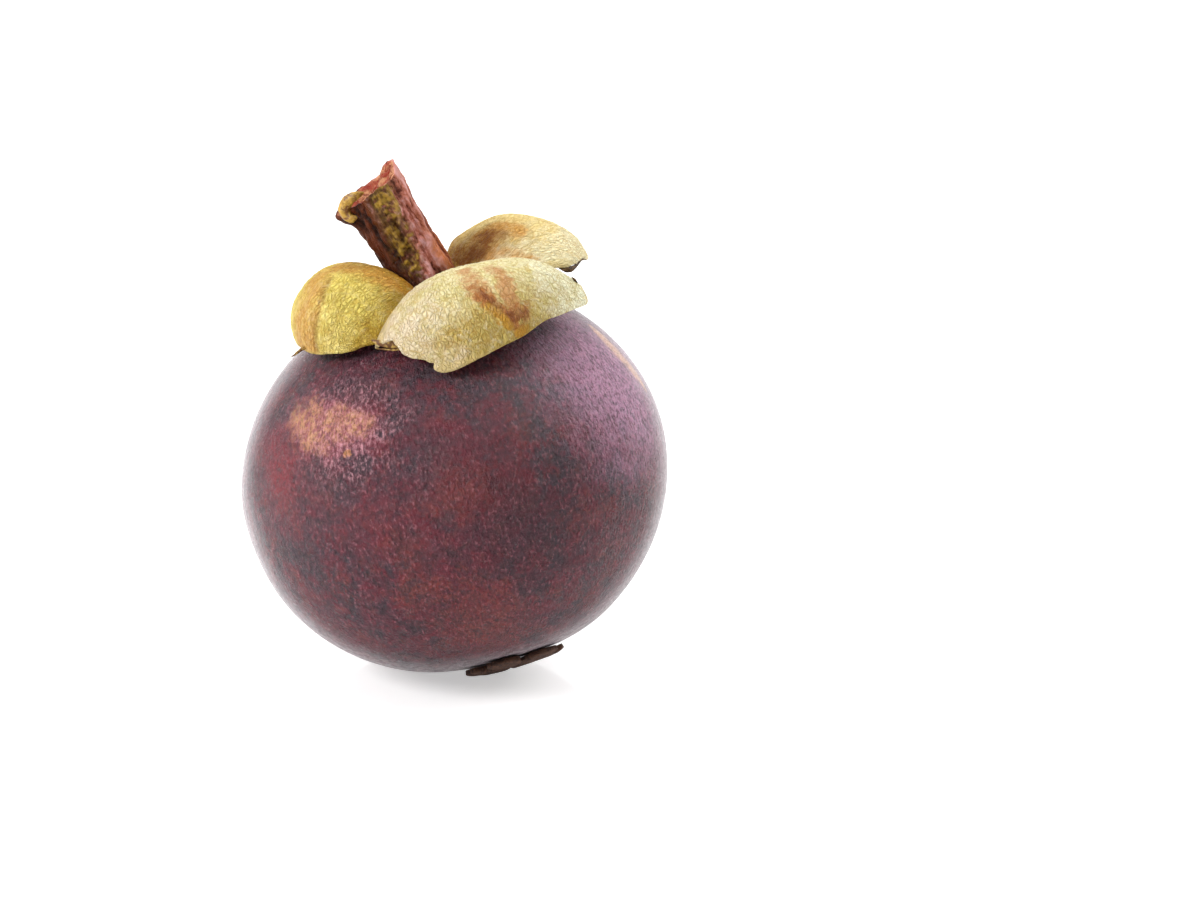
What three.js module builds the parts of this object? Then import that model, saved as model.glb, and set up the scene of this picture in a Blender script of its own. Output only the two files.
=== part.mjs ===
// Mangosteen: one whole fruit with its woody stem, four leathery sepals and the dried stigma
// rosette underneath. Millimetres, +Z up. The origin is the middle of the small flat spot that the
// fruit rests on, straight below the middle of the rind.
import * as THREE from 'three';
import { mergeVertices } from 'three/addons/utils/BufferGeometryUtils.js';

// Rind: a slightly flattened globe that leans as it lies on its side spot.
const RIND_EQUATOR_RADIUS = 31;
const RIND_POLE_RADIUS = 28.45;
const RIND_CENTRE_HEIGHT = 28.15;
const LEAN_LEFT_DEG = 18.5;
const LEAN_BACK_DEG = 15;
const RIND_MEAN_RADIUS = 29;
const CALYX_DIMPLE = { depth: 1.5, width: 7.5 };
const STIGMA_FLAT = { depth: 1.1, width: 9.5 };
const RIND_UNEVENNESS = 0.14;
// The rind is a little flatter low on its left and front: how deep, which way, and from what to what
// closeness to that way (the cosine of the angle between) the flattening comes in.
const RIND_HOLLOW = { depth: 0.5, way: [-0.5, -0.6, -0.62], from: 0.56, full: 0.8 };
const RIND_SEGMENTS = [44, 32];

// Stem: a short wrinkled stub with a torn end and the scar of a side shoot.
const STEM_RADIUS = 4.2;
const STEM_LENGTH = 19.4;
const STEM_DIRECTION = [-0.504, 0.016, 0.863];
const STEM_ROOT_OFFSET = [0.25, -0.2, -1.2];
const STEM_FLARE = { size: 1.3, height: 1.6 };
const STEM_OVALITY = { size: 0.25, turn: 0.6 };
const STEM_WRINKLES = { size: 0.2, count: 11, fineSize: 0.1, fineCount: 5 };
const STEM_SWELLING = { size: 0.2, below: 1.5, height: 2.5 };
const SHOOT_SCAR = { size: 1.7, angle: 185, below: 1.3, spread: 0.42, height: 1.6 };
const BARK_SCALE = { size: 0.6, angle: -75, below: 4, spread: 0.55, height: 1.6 };
const TORN_END = { right: 0.4, back: 0.5, ripple: 0.2, splinter: 1.5, angle: 12, spread: 0.55, dish: 1.3 };
const STEM_SEGMENTS = [44, 20];

// Sepals: thick leathery shells that arch up from the stem and curl down to the rind.
// azimuth: compass direction in the calyx plane; pitch: slope at the root and at the tip; bend: how
// late the slope turns; cup: curl of the two sides; squareness: of the outline; lean: how much
// longer one side is; tuck: how far one side is pressed down to the rind, under its neighbour;
// edits: [angle, spread, size] of bites (+) and lobes (-) in the outline, measured from the tip.
const SEPALS = {
  sepal_front: {
    azimuth: -64, length: 25.5, halfWidth: 17.5, rootWidth: 0.1, pitch: [64, -80], bend: 0.9,
    cup: [60, 50], squareness: 2.5, lean: -0.08, tuck: 0,
    edits: [[-128, 18, 0.2], [-101, 10, -0.21], [-80, 10, 0.08], [-66, 17, 0.02], [-29, 8, -0.13],
      [15, 22, 0.09], [55, 18, -0.08]],
  },
  sepal_left: {
    azimuth: 205, length: 26.6, halfWidth: 15.4, rootWidth: 0.4, pitch: [54, -105], bend: 1.35,
    cup: [55, 64], squareness: 2.8, lean: 0, tuck: 0.66,
    edits: [[-32, 20, -0.05], [62, 24, 0.07], [85, 22, 0.03], [125, 26, 0.28], [-120, 29, 0.21]],
  },
  sepal_back_right: {
    azimuth: 40, length: 25.5, halfWidth: 15.8, rootWidth: 0.4, pitch: [50, -80], bend: 1.6,
    cup: [54, 72], squareness: 2.8, lean: 0, tuck: 0,
    edits: [[-126, 23, 0.1], [-106, 17, -0.16], [-84, 12, 0.08], [-50, 12, 0.03], [122, 26, 0.36],
      [83, 23, 0.05], [20, 20, -0.04]],
  },
  sepal_back_left: {
    azimuth: 126, length: 20, halfWidth: 12, rootWidth: 0.4, pitch: [22, -50], bend: 1,
    cup: [45, 45], squareness: 2.6, lean: 0, tuck: 0,
    edits: [[-115, 29, 0.1], [120, 29, 0.21]],
  },
};
const SEPAL_THICKNESS = 1.3;
const SEPAL_EDGE_THINNING = 0.48;
const SEPAL_ROOT = { distance: 3, height: 0.6 };
const SEPAL_WIDEST = 0.55;
const SEPAL_ROOT_CUP = 0.6;
const SEPAL_WAVE = 0.22;
const SEPAL_RAGGEDNESS = 0.008;
const SEPAL_TUCK_FROM = 0.1;
const SEPAL_TUCK_TO = 0.72;
const SEPAL_SEGMENTS = 18;

// Stigma: the flat six-lobed rosette opposite the calyx, one lobe for each segment inside.
const STIGMA_RADIUS = 7.6;
const STIGMA_LOBES = 6;
const STIGMA_TURN = 0.3;
const STIGMA_RIM = 0.85;
const STIGMA_PROUD = 1.3;
const STIGMA_SHIFT = [0.012, 0.1, 0];
const STIGMA_FLOOR_CLEARANCE = 0.25;
const STIGMA_SEGMENTS = 60;

const TOUCHING_GAP = 0.3;
const RESTING_HEIGHT = 0;

const rad = THREE.MathUtils.degToRad;
const vec = (x, y, z) => new THREE.Vector3(x, y, z);
const hill = (distance, width) => Math.exp(-((distance / width) ** 2));
const angleBetween = (a, b) => Math.abs(Math.atan2(Math.sin(a - b), Math.cos(a - b)));

/** Three axes at right angles: the last along `axis`, the first as near as it can be to +X. */
function axesAbout(axis) {
  const along = axis.clone().normalize();
  const right = vec(1, 0, 0).addScaledVector(along, -along.x).normalize();
  return { right, away: along.clone().cross(right), along };
}

/** The point at (x, y, z) in the given axes, seen from `origin`. */
function inAxes(axes, origin, x, y, z) {
  return origin.clone()
    .addScaledVector(axes.right, x).addScaledVector(axes.away, y).addScaledVector(axes.along, z);
}

const rindCentre = vec(0, 0, RIND_CENTRE_HEIGHT);
const rindAxis = vec(
  -Math.sin(rad(LEAN_LEFT_DEG)),
  Math.cos(rad(LEAN_LEFT_DEG)) * Math.sin(rad(LEAN_BACK_DEG)),
  Math.cos(rad(LEAN_LEFT_DEG)) * Math.cos(rad(LEAN_BACK_DEG)),
).normalize();
const calyxDirection = vec(-Math.sin(rad(4)), -Math.sin(rad(4)), 1).normalize();
const stigmaDirection = rindAxis.clone().add(vec(...STIGMA_SHIFT)).normalize().negate();
const hollowDirection = vec(...RIND_HOLLOW.way).normalize();

/** Distance from the rind's centre to its skin along a unit direction. */
function rindRadius(direction) {
  const tilt = direction.angleTo(rindAxis);
  const globe = 1 / Math.hypot(Math.sin(tilt) / RIND_EQUATOR_RADIUS, Math.cos(tilt) / RIND_POLE_RADIUS);
  const toCalyx = direction.angleTo(calyxDirection) * RIND_MEAN_RADIUS;
  const toStigma = direction.angleTo(stigmaDirection) * RIND_MEAN_RADIUS;
  const { x, y, z } = direction;
  const uneven = Math.sin(3.1 * x + 2.2 * y - 1.7 * z + 0.6) * Math.cos(2.3 * z + 1.1 * x);
  const facing = direction.dot(hollowDirection);
  const hollow = RIND_HOLLOW.depth * THREE.MathUtils.smoothstep(facing, RIND_HOLLOW.from, RIND_HOLLOW.full);
  return globe - CALYX_DIMPLE.depth * hill(toCalyx, CALYX_DIMPLE.width)
    - STIGMA_FLAT.depth * hill(toStigma, STIGMA_FLAT.width) - hollow + RIND_UNEVENNESS * uneven;
}

/** The point of the skin in a unit direction, or a distance above it. */
function onRind(direction, above = 0) {
  return rindCentre.clone().addScaledVector(direction, rindRadius(direction) + above);
}

const calyxCentre = onRind(calyxDirection);
const calyxAxes = axesAbout(vec(-Math.sin(rad(7)), -Math.sin(rad(2)), 1));
const stemAxes = axesAbout(vec(...STEM_DIRECTION));
const stemRoot = calyxCentre.clone().add(vec(...STEM_ROOT_OFFSET));

/** A smooth ramp: nearly 0 below zero, nearly `value` above it, rounded over about `softness`. */
function softLift(value, softness) {
  return value > 6 * softness ? value : softness * Math.log1p(Math.exp(value / softness));
}

/**
 * Lifts a point that is in or near the rind until it clears the skin. `pressed` brings one that is
 * above it down by a share of its height.
 */
function liftOffRind(point, clearance, softness, pressed = 0) {
  const direction = point.clone().sub(rindCentre);
  const distance = direction.length();
  const surface = rindRadius(direction.normalize()) + clearance;
  const height = softLift((distance - surface) * (1 - pressed), softness);
  return rindCentre.clone().addScaledVector(direction, surface + height);
}

/** Moves a point sideways off the lower stem until it clears the bark. */
function pushOffStem(point, clearance, softness) {
  const offset = point.clone().sub(stemRoot);
  const along = offset.dot(stemAxes.along);
  if (along > STEM_LENGTH * 0.6) return point;
  const sideways = offset.addScaledVector(stemAxes.along, -along);
  const bark = STEM_RADIUS + STEM_OVALITY.size + STEM_WRINKLES.size + STEM_WRINKLES.fineSize
    + STEM_FLARE.size * hill(Math.max(along, 0), STEM_FLARE.height) + clearance;
  sideways.setLength(bark + softLift(sideways.length() - bark, softness));
  return stemRoot.clone().addScaledVector(stemAxes.along, along).add(sideways);
}

/** The direction from the rind's centre to the lowest point of a leaning globe. */
function downToRest() {
  const equator = RIND_EQUATOR_RADIUS ** 2;
  const stretch = (equator - RIND_POLE_RADIUS ** 2) * rindAxis.z;
  return vec(0, 0, -equator).addScaledVector(rindAxis, stretch).normalize();
}

/** Moves every vertex of a geometry by a formula and welds its seams into one closed skin. */
function reshape(geometry, place) {
  const position = geometry.attributes.position;
  for (let i = 0; i < position.count; i++) {
    const moved = place(new THREE.Vector3().fromBufferAttribute(position, i));
    position.setXYZ(i, moved.x, moved.y, moved.z);
  }
  geometry.deleteAttribute('normal');
  geometry.deleteAttribute('uv');
  const welded = mergeVertices(geometry, 1e-4);
  welded.computeVertexNormals();
  return welded;
}

/** The globe of the rind, its rings of vertices centred on the level spot where it rests. */
function rindGeometry() {
  const axes = axesAbout(downToRest().negate());
  return reshape(new THREE.SphereGeometry(1, ...RIND_SEGMENTS), (p) => {
    const skin = onRind(inAxes(axes, vec(0, 0, 0), p.x, -p.z, p.y).normalize());
    skin.z = Math.max(skin.z, RESTING_HEIGHT);
    return skin;
  });
}

/** A bump on the bark, centred at an angle round the stem and a distance below its end. */
function barkBump({ size, angle, below, spread, height }, turn, along) {
  return size * hill(angleBetween(turn, rad(angle)), spread) * hill(along - STEM_LENGTH + below, height);
}

function stemRadiusAt(turn, along) {
  return STEM_RADIUS + STEM_FLARE.size * hill(along, STEM_FLARE.height)
    + STEM_OVALITY.size * Math.cos(2 * turn + STEM_OVALITY.turn)
    + STEM_WRINKLES.size * Math.cos(STEM_WRINKLES.count * turn + 0.9 * Math.sin(0.35 * along))
    + STEM_WRINKLES.fineSize * Math.cos(STEM_WRINKLES.fineCount * turn - 0.25 * along)
    + STEM_SWELLING.size * hill(along - STEM_LENGTH + STEM_SWELLING.below, STEM_SWELLING.height)
    + barkBump(SHOOT_SCAR, turn, along) + barkBump(BARK_SCALE, turn, along);
}

/** How far the torn end reaches at an angle round the stem. */
function stemEndAt(turn) {
  return STEM_LENGTH + TORN_END.right * Math.cos(turn) + TORN_END.back * Math.sin(turn)
    + TORN_END.ripple * Math.sin(3 * turn)
    + TORN_END.splinter * hill(angleBetween(turn, rad(TORN_END.angle)), TORN_END.spread);
}

/** The stem: a turned profile of unit size, stretched along the stem and dished at the torn end. */
function stemGeometry() {
  const [around, up] = STEM_SEGMENTS;
  const profile = [new THREE.Vector2(0, 0)];
  for (let i = 0; i <= up; i++) profile.push(new THREE.Vector2(1, i / up));
  for (const inset of [0.8, 0.5, 0]) profile.push(new THREE.Vector2(inset, 1));
  return reshape(new THREE.LatheGeometry(profile, around), (p) => {
    const turn = Math.atan2(p.x, p.z);
    const inset = Math.hypot(p.x, p.z);
    const end = stemEndAt(turn);
    const middle = STEM_LENGTH - TORN_END.dish;
    const along = p.y * (inset * end + (1 - inset) * middle);
    const radius = inset * stemRadiusAt(turn, p.y * end);
    const point = inAxes(stemAxes, stemRoot, radius * Math.cos(turn), radius * Math.sin(turn), along);
    return liftOffRind(point, TOUCHING_GAP, 0.1);
  });
}

/** Distance out and height of the line along a sepal's middle, with its slope, by share of length. */
function sepalMidline({ length, pitch, bend }) {
  const steps = 400;
  const longest = 1.3;
  const samples = [];
  let out = SEPAL_ROOT.distance;
  let height = SEPAL_ROOT.height;
  for (let i = 0; i <= steps; i++) {
    const slope = rad(pitch[0] + (pitch[1] - pitch[0]) * (longest * i / steps) ** bend);
    samples.push({ out, height, slope });
    out += Math.cos(slope) * longest * length / steps;
    height += Math.sin(slope) * longest * length / steps;
  }
  return (share) => samples[Math.round(THREE.MathUtils.clamp(share / longest, 0, 1) * steps)];
}

/** Pulls the square grid point (u, v) in to a rounded outline with the sepal's own bites and lobes. */
function sepalOutline(sepal, u, v) {
  const power = sepal.squareness;
  const square = Math.max(Math.abs(u), Math.abs(v));
  const rounded = (Math.abs(u) ** power + Math.abs(v) ** power) ** (1 / power);
  const shrink = rounded > 0 ? square / rounded : 1;
  const across = u * shrink;
  const along = v * shrink;
  const turn = Math.atan2(across, along);
  const outness = Math.hypot(across, along);
  let edge = 1 + SEPAL_RAGGEDNESS * (Math.sin(9 * turn + sepal.azimuth) + Math.sin(14 * turn)) * outness ** 6;
  for (const [angle, spread, size] of sepal.edits) {
    edge -= size * hill(turn - rad(angle), rad(spread)) * outness ** 6;
  }
  return { across: across * edge, along: along * edge, outness };
}

/** A point on the middle layer of a sepal. */
function sepalPoint(sepal, midline, across, along) {
  const share = (along + 1) / 2 * (1 + sepal.lean * across);
  const spread = THREE.MathUtils.clamp(share / SEPAL_WIDEST, 0, 1) ** 0.8;
  const lateral = across * sepal.halfWidth * (sepal.rootWidth + (1 - sepal.rootWidth) * spread);
  const { out, height, slope } = midline(share);
  const cup = rad(lateral < 0 ? sepal.cup[0] : sepal.cup[1]) / sepal.halfWidth
    * (SEPAL_ROOT_CUP + (1 - SEPAL_ROOT_CUP) * THREE.MathUtils.clamp(share, 0, 1));
  const side = Math.sin(lateral * cup) / cup;
  const drop = (1 - Math.cos(lateral * cup)) / cup;
  const wave = SEPAL_WAVE * Math.sin(5.7 * across + sepal.azimuth) * Math.cos(5.2 * along + 0.7);
  const outward = out + drop * Math.sin(slope);
  const up = height - drop * Math.cos(slope) + wave;
  const bearing = rad(sepal.azimuth);
  return inAxes(calyxAxes, calyxCentre, outward * Math.cos(bearing) - side * Math.sin(bearing),
    outward * Math.sin(bearing) + side * Math.cos(bearing), up);
}

/** The ring of vertices round a square grid of `n` cells a side, anticlockwise. */
function rimOfGrid(n) {
  const at = (column, row) => row * (n + 1) + column;
  const rim = [];
  for (let i = 0; i < n; i++) rim.push(at(i, n));
  for (let i = 0; i < n; i++) rim.push(at(n, n - i));
  for (let i = 0; i < n; i++) rim.push(at(n - i, 0));
  for (let i = 0; i < n; i++) rim.push(at(0, i));
  return rim;
}

/** Closes a sheet into a blade: two copies split into the same triangles, joined round the rim. */
function thicken(sheet, segments, thicknesses) {
  sheet.computeVertexNormals();
  const { position, normal } = sheet.attributes;
  const count = position.count;
  const points = [];
  for (const half of [0.5, -0.5]) {
    for (let i = 0; i < count; i++) {
      const p = new THREE.Vector3().fromBufferAttribute(position, i);
      const n = new THREE.Vector3().fromBufferAttribute(normal, i);
      points.push(...p.addScaledVector(n, half * thicknesses[i]));
    }
  }
  const faces = [...sheet.index.array];
  for (let i = 0; i < sheet.index.count; i += 3) {
    const [a, b, c] = sheet.index.array.slice(i, i + 3);
    faces.push(a + count, c + count, b + count);
  }
  const rim = rimOfGrid(segments);
  rim.forEach((from, i) => {
    const to = rim[(i + 1) % rim.length];
    faces.push(to, from, from + count, to, from + count, to + count);
  });
  const blade = new THREE.BufferGeometry();
  blade.setAttribute('position', new THREE.Float32BufferAttribute(points, 3));
  blade.setIndex(faces);
  blade.computeVertexNormals();
  return blade;
}

/** One sepal: a plane grid laid on the arched middle layer, clear of stem and rind, then thickened. */
function sepalGeometry(sepal) {
  const sheet = new THREE.PlaneGeometry(2, 2, SEPAL_SEGMENTS, SEPAL_SEGMENTS);
  const midline = sepalMidline(sepal);
  const position = sheet.attributes.position;
  const thicknesses = [];
  for (let i = 0; i < position.count; i++) {
    const { across, along, outness } = sepalOutline(sepal, position.getX(i), position.getY(i));
    const thickness = SEPAL_THICKNESS * (1 - SEPAL_EDGE_THINNING * Math.min(outness, 1) ** 3);
    const clearance = thickness / 2 + TOUCHING_GAP;
    const free = sepalPoint(sepal, midline, across, along);
    const pressed = sepal.tuck * THREE.MathUtils.smoothstep(across, SEPAL_TUCK_FROM, SEPAL_TUCK_TO);
    const point = liftOffRind(pushOffStem(free, clearance, 0.3), clearance, 0.35, pressed);
    position.setXYZ(i, point.x, point.y, point.z);
    thicknesses.push(thickness);
  }
  return thicken(sheet, SEPAL_SEGMENTS, thicknesses);
}

/** The rosette: an outer face of lobes parted by grooves, and an underside that follows the rind. */
function stigmaGeometry() {
  const rings = [0, 0.3, 0.5, 0.68, 0.82, 0.92, 0.98, 1];
  const profile = [];
  for (const share of rings) profile.push(new THREE.Vector2(share, 0));
  for (const share of [...rings].reverse()) profile.push(new THREE.Vector2(share, 1));
  const axes = axesAbout(stigmaDirection);
  const step = 2 * Math.PI / STIGMA_LOBES;
  return reshape(new THREE.LatheGeometry(profile, STIGMA_SEGMENTS), (p) => {
    const turn = Math.atan2(p.x, p.z);
    const share = Math.min(Math.hypot(p.x, p.z), 1);
    const fromMiddle = Math.abs(THREE.MathUtils.euclideanModulo(turn - STIGMA_TURN, step) - step / 2);
    const fromGroove = step / 2 - fromMiddle;
    const cleft = 1 - 0.42 * hill(fromGroove, 0.1);
    const reach = STIGMA_RADIUS * (1 - 0.08 * (2 * fromMiddle / step) ** 2) * cleft;
    const distance = share * reach;
    const dome = Math.sqrt(1 - share ** 6) * (0.55 + 0.45 * Math.min(distance / 4, 1));
    const groove = 1 - 0.8 * hill(fromGroove * distance, 0.45);
    const crest = STIGMA_RIM + (STIGMA_PROUD - STIGMA_RIM) * dome * groove;
    const angle = distance / RIND_MEAN_RADIUS;
    const direction = inAxes(axes, vec(0, 0, 0), Math.sin(angle) * Math.cos(turn),
      Math.sin(angle) * Math.sin(turn), Math.cos(angle));
    const point = onRind(direction, p.y > 0.5 ? crest : TOUCHING_GAP);
    point.z = Math.max(point.z, STIGMA_FLOOR_CLEARANCE);
    return point;
  });
}

function piece(name, geometry, color, roughness) {
  const mesh = new THREE.Mesh(geometry, new THREE.MeshStandardMaterial({ color, roughness, metalness: 0 }));
  mesh.name = name;
  return mesh;
}

const mangosteen = new THREE.Group();
mangosteen.name = 'mangosteen';
mangosteen.add(
  piece('rind', rindGeometry(), 0x4a2230, 0.42),
  piece('stem', stemGeometry(), 0x6f3a2a, 0.7),
  piece('stigma', stigmaGeometry(), 0x43281f, 0.75),
  piece('sepal_front', sepalGeometry(SEPALS.sepal_front), 0xd9c98a, 0.68),
  piece('sepal_left', sepalGeometry(SEPALS.sepal_left), 0xb59a4a, 0.68),
  piece('sepal_back_right', sepalGeometry(SEPALS.sepal_back_right), 0xc7a868, 0.68),
  piece('sepal_back_left', sepalGeometry(SEPALS.sepal_back_left), 0xc4a07a, 0.68),
);

export default mangosteen;
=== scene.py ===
"""A whole mangosteen resting on a pale table: the fine surfaces, finishes, light and camera that
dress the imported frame. Shapes are worked out in millimetres and put into the meshes in metres."""
import math

import bpy
import numpy as np
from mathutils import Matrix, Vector


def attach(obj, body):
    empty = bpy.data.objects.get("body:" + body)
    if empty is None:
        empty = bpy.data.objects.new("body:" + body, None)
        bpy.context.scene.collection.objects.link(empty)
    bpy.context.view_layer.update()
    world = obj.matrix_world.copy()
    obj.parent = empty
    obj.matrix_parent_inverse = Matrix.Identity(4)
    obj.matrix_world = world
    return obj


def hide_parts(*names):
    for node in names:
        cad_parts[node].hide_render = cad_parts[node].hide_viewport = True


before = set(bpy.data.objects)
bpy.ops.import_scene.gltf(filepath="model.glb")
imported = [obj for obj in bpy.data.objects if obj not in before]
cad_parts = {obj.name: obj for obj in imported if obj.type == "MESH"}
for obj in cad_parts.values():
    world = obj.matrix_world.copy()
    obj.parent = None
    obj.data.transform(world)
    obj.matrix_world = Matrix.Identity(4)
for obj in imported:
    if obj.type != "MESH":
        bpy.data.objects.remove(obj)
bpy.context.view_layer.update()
scene = bpy.context.scene

MM = 0.001
radians = math.radians


def unit(v):
    v = np.asarray(v, float)
    return v / np.linalg.norm(v)


def lengths(v):
    return np.linalg.norm(v, axis=-1)


def hill(distance, width):
    """A smooth bump: 1 in its middle, falling off like a bell curve."""
    return np.exp(-((distance / width) ** 2))


def ramp(value, low, high):
    """0 below `low`, 1 above `high`, with a smooth S between."""
    t = np.clip((value - low) / (high - low), 0, 1)
    return t * t * (3 - 2 * t)


def turn_apart(a, b):
    """The angle between two turns, the short way round."""
    return np.abs(np.angle(np.exp(1j * (a - b))))


def axes_about(axis):
    """Three axes at right angles: the last along `axis`, the first as near as it can be to +X."""
    along = unit(axis)
    right = unit(np.array([1.0, 0, 0]) - along[0] * along)
    return np.array([right, np.cross(along, right), along])


def on_ball(away, turn):
    """The unit vector at an angle away from +Z and a turn about it."""
    flat = np.sin(away)
    return np.stack([flat * np.cos(turn), flat * np.sin(turn), np.cos(away) + 0 * turn], -1)


def lattice(p, seed):
    """Smooth noise from -1 to 1: a random value at each whole-number point, blended between them."""
    cell = np.floor(p).astype(np.int64)
    f = p - cell
    f = f * f * (3 - 2 * f)
    total = 0.0
    for corner in range(8):
        step = np.array([corner & 1, corner >> 1 & 1, corner >> 2])
        k = (cell + step) * np.array([73856093, 19349663, 83492791])
        h = (k[..., 0] ^ k[..., 1] ^ k[..., 2]) + seed * 2654435
        h = ((h ^ (h >> 13)) * 1274126177) & 0x7FFFFFFF
        h = ((h ^ (h >> 16)) * 668265263) & 0x7FFFFFFF
        weight = np.prod(np.where(step == 1, f, 1 - f), axis=-1)
        total = total + weight * (h / 0x3FFFFFFF - 1)
    return total


def layered(p, size, seed, layers=3, shaped=np.positive):
    """Noise of a given grain size in millimetres, with finer and weaker layers added to it. Every layer
    passes through `shaped` first."""
    total = sum(shaped(lattice(p / size * 2**i, seed + i)) * 0.5**i for i in range(layers))
    return total / (2 - 0.5 ** (layers - 1))


def ridged(p, size, seed, layers=3):
    """Noise folded about zero, which makes sharp creases between soft pads: 0 in a crease, about 1 on
    top of a pad."""
    return layered(p, size, seed, layers, np.abs) * 1.6


# ---- rind

EQUATOR_RADIUS, POLE_RADIUS, MEAN_RADIUS = 31.0, 28.45, 29.0
RIND_CENTRE = np.array([0.0, 0.0, 28.15])
LEAN_LEFT, LEAN_BACK = radians(18.5), radians(15)
UPRIGHT = math.cos(LEAN_LEFT)
RIND_AXIS = unit([-math.sin(LEAN_LEFT), UPRIGHT * math.sin(LEAN_BACK), UPRIGHT * math.cos(LEAN_BACK)])
CALYX_WAY = unit([-math.sin(radians(4)), -math.sin(radians(4)), 1])
STIGMA_WAY = -unit(RIND_AXIS + np.array([0.012, 0.1, 0]))
DIMPLE_DEPTH, DIMPLE_REACH = 1.5, 7.5
FLAT_DEPTH, FLAT_REACH = 1.1, 9.5
HOLLOW_WAY, HOLLOW_DEPTH = unit([-0.5, -0.6, -0.62]), 0.5
UNEVENNESS = 0.14
LUMP_HEIGHT = 0.05
TOUCHING_GAP = 0.3


def rind_radius(way):
    """Distance from the middle of the rind to its skin: a flattened globe, dimpled under the calyx,
    flattened round the stigma and low on its left and front, and slightly uneven."""
    tilt = np.arccos(np.clip(way @ RIND_AXIS, -1, 1))
    globe = 1 / np.hypot(np.sin(tilt) / EQUATOR_RADIUS, np.cos(tilt) / POLE_RADIUS)
    to_calyx = np.arccos(np.clip(way @ CALYX_WAY, -1, 1)) * MEAN_RADIUS
    to_stigma = np.arccos(np.clip(way @ STIGMA_WAY, -1, 1)) * MEAN_RADIUS
    x, y, z = way[..., 0], way[..., 1], way[..., 2]
    uneven = np.sin(3.1 * x + 2.2 * y - 1.7 * z + 0.6) * np.cos(2.3 * z + 1.1 * x)
    hollow = HOLLOW_DEPTH * ramp(way @ HOLLOW_WAY, 0.56, 0.8)
    dimpled = globe - DIMPLE_DEPTH * hill(to_calyx, DIMPLE_REACH)
    return dimpled - FLAT_DEPTH * hill(to_stigma, FLAT_REACH) - hollow + UNEVENNESS * uneven


def on_rind(way, above=0.0):
    return RIND_CENTRE + way * (rind_radius(way) + above)[..., None]


CALYX_CENTRE = on_rind(CALYX_WAY)
CALYX_AXES = axes_about([-math.sin(radians(7)), -math.sin(radians(2)), 1])
STEM_AXES = axes_about([-0.504, 0.016, 0.863])
STEM_ROOT = CALYX_CENTRE + np.array([0.25, -0.2, -1.2])


def soft_lift(value, softness):
    """Nearly 0 below zero and nearly `value` above it, rounded over about `softness`."""
    eased = softness * np.log1p(np.exp(np.clip(value / softness, -40, 40)))
    return np.where(value > 6 * softness, value, eased)


def lift_off_rind(p, clearance, softness, pressed=0.0):
    """Lifts points that are in or near the rind until they clear the skin. `pressed` brings the ones
    above it down by a share of their height."""
    way = p - RIND_CENTRE
    far = lengths(way)
    way = way / far[..., None]
    surface = rind_radius(way) + clearance
    height = soft_lift((far - surface) * (1 - pressed), softness)
    return RIND_CENTRE + way * (surface + height)[..., None]


def rind_skin(rows=220, columns=400):
    """The skin over a grid of angles round and away from the calyx: the globe's radius, plus faint
    lumps, with everything below the table's level flattened onto it."""
    away = np.linspace(0, math.pi, rows)[:, None]
    turn = np.linspace(0, 2 * math.pi, columns, endpoint=False)[None, :]
    way = on_ball(away, turn) @ axes_about(CALYX_WAY)
    p = on_rind(way)
    p = p + way * (LUMP_HEIGHT * layered(p, 5.0, 3) * ramp(p[..., 2], 0.5, 6))[..., None]
    p[..., 2] = np.maximum(p[..., 2], 0)
    return p


# ---- stem

STEM_RADIUS, STEM_LENGTH = 4.2, 19.4
FLARE_HEIGHT, FLARE_REACH = 1.3, 1.6
BARK_ALLOWANCE, SHARE_NEAR_SEPALS = 0.55, 0.6
DISH_DEPTH = 1.3
WART_PLACE, WART_SLANT, WART_MIDDLE = 0.12, 0.03, 11.0


def bark_bump(turn, along, size, angle, below, spread, height):
    """A bump on the bark, centred at an angle round the stem and a distance below its end."""
    beside = hill(turn_apart(turn, radians(angle)), spread)
    return size * beside * hill(along - STEM_LENGTH + below, height)


def stem_radius(turn, along):
    """The stem's radius: an oval flaring at the root, fluted by long wrinkles, with the side shoot's
    scar and a raised scale of bark near the torn end, and a shallow waist on its left."""
    return (
        STEM_RADIUS
        + FLARE_HEIGHT * hill(along, FLARE_REACH)
        + 0.25 * np.cos(2 * turn + 0.6)
        + 0.2 * np.cos(11 * turn + 0.9 * np.sin(0.35 * along))
        + 0.1 * np.cos(5 * turn - 0.25 * along)
        + 0.2 * hill(along - STEM_LENGTH + 1.5, 2.5)
        + bark_bump(turn, along, 1.35, 185, 1.3, 0.42, 1.6)
        - bark_bump(turn, along, 0.35, 180, 9.4, 0.8, 4.0)
        + bark_bump(turn, along, 0.6, -75, 4, 0.55, 1.6)
    )


def stem_end(turn):
    """How far the torn end reaches at each turn: slanting, rippled, with one tall splinter."""
    return (
        STEM_LENGTH
        + 0.4 * np.cos(turn)
        + 0.5 * np.sin(turn)
        + 0.2 * np.sin(3 * turn)
        + 1.5 * hill(turn_apart(turn, radians(12)), 0.55)
    )


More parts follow.
